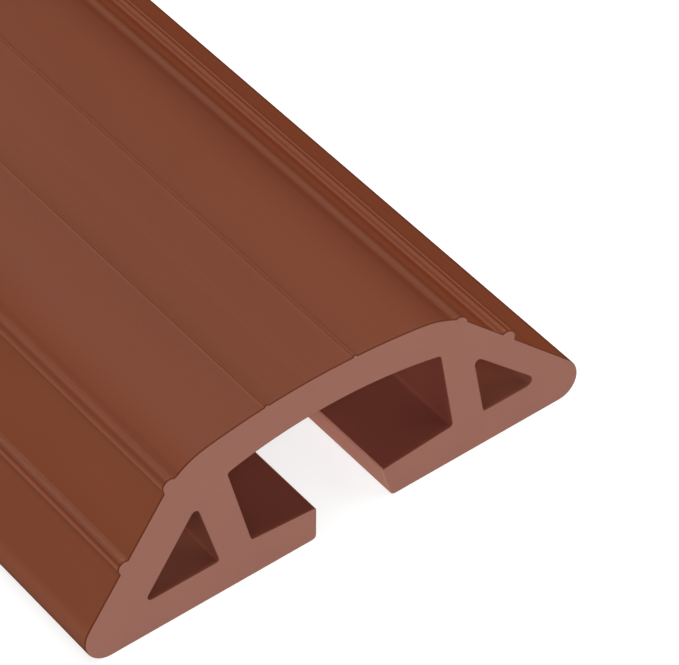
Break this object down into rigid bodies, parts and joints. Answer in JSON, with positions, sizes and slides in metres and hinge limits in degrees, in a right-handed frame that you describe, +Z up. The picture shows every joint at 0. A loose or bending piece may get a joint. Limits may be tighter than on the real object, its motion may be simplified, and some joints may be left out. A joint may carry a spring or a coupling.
{
  "type": "floor cord cover",
  "caption": "Length of extruded soft PVC that covers cords laid across a floor: low ribbed crown, sloped flanks, a cord channel that opens through a slit in the flat base, and hollow flanks.",
  "frame": {"origin": "middle of the flat base, halfway along the length, on the floor", "axes": "+X across the cover, +Y along its length from the near cut end to the far one, +Z up"},
  "size_m": [0.1, 1.2192, 0.0337],
  "materials": {
    "brown_pvc": "satin"
  },
  "bodies": {
    "root": {"cord_cover": "brown_pvc"}
  },
  "joints": []
}
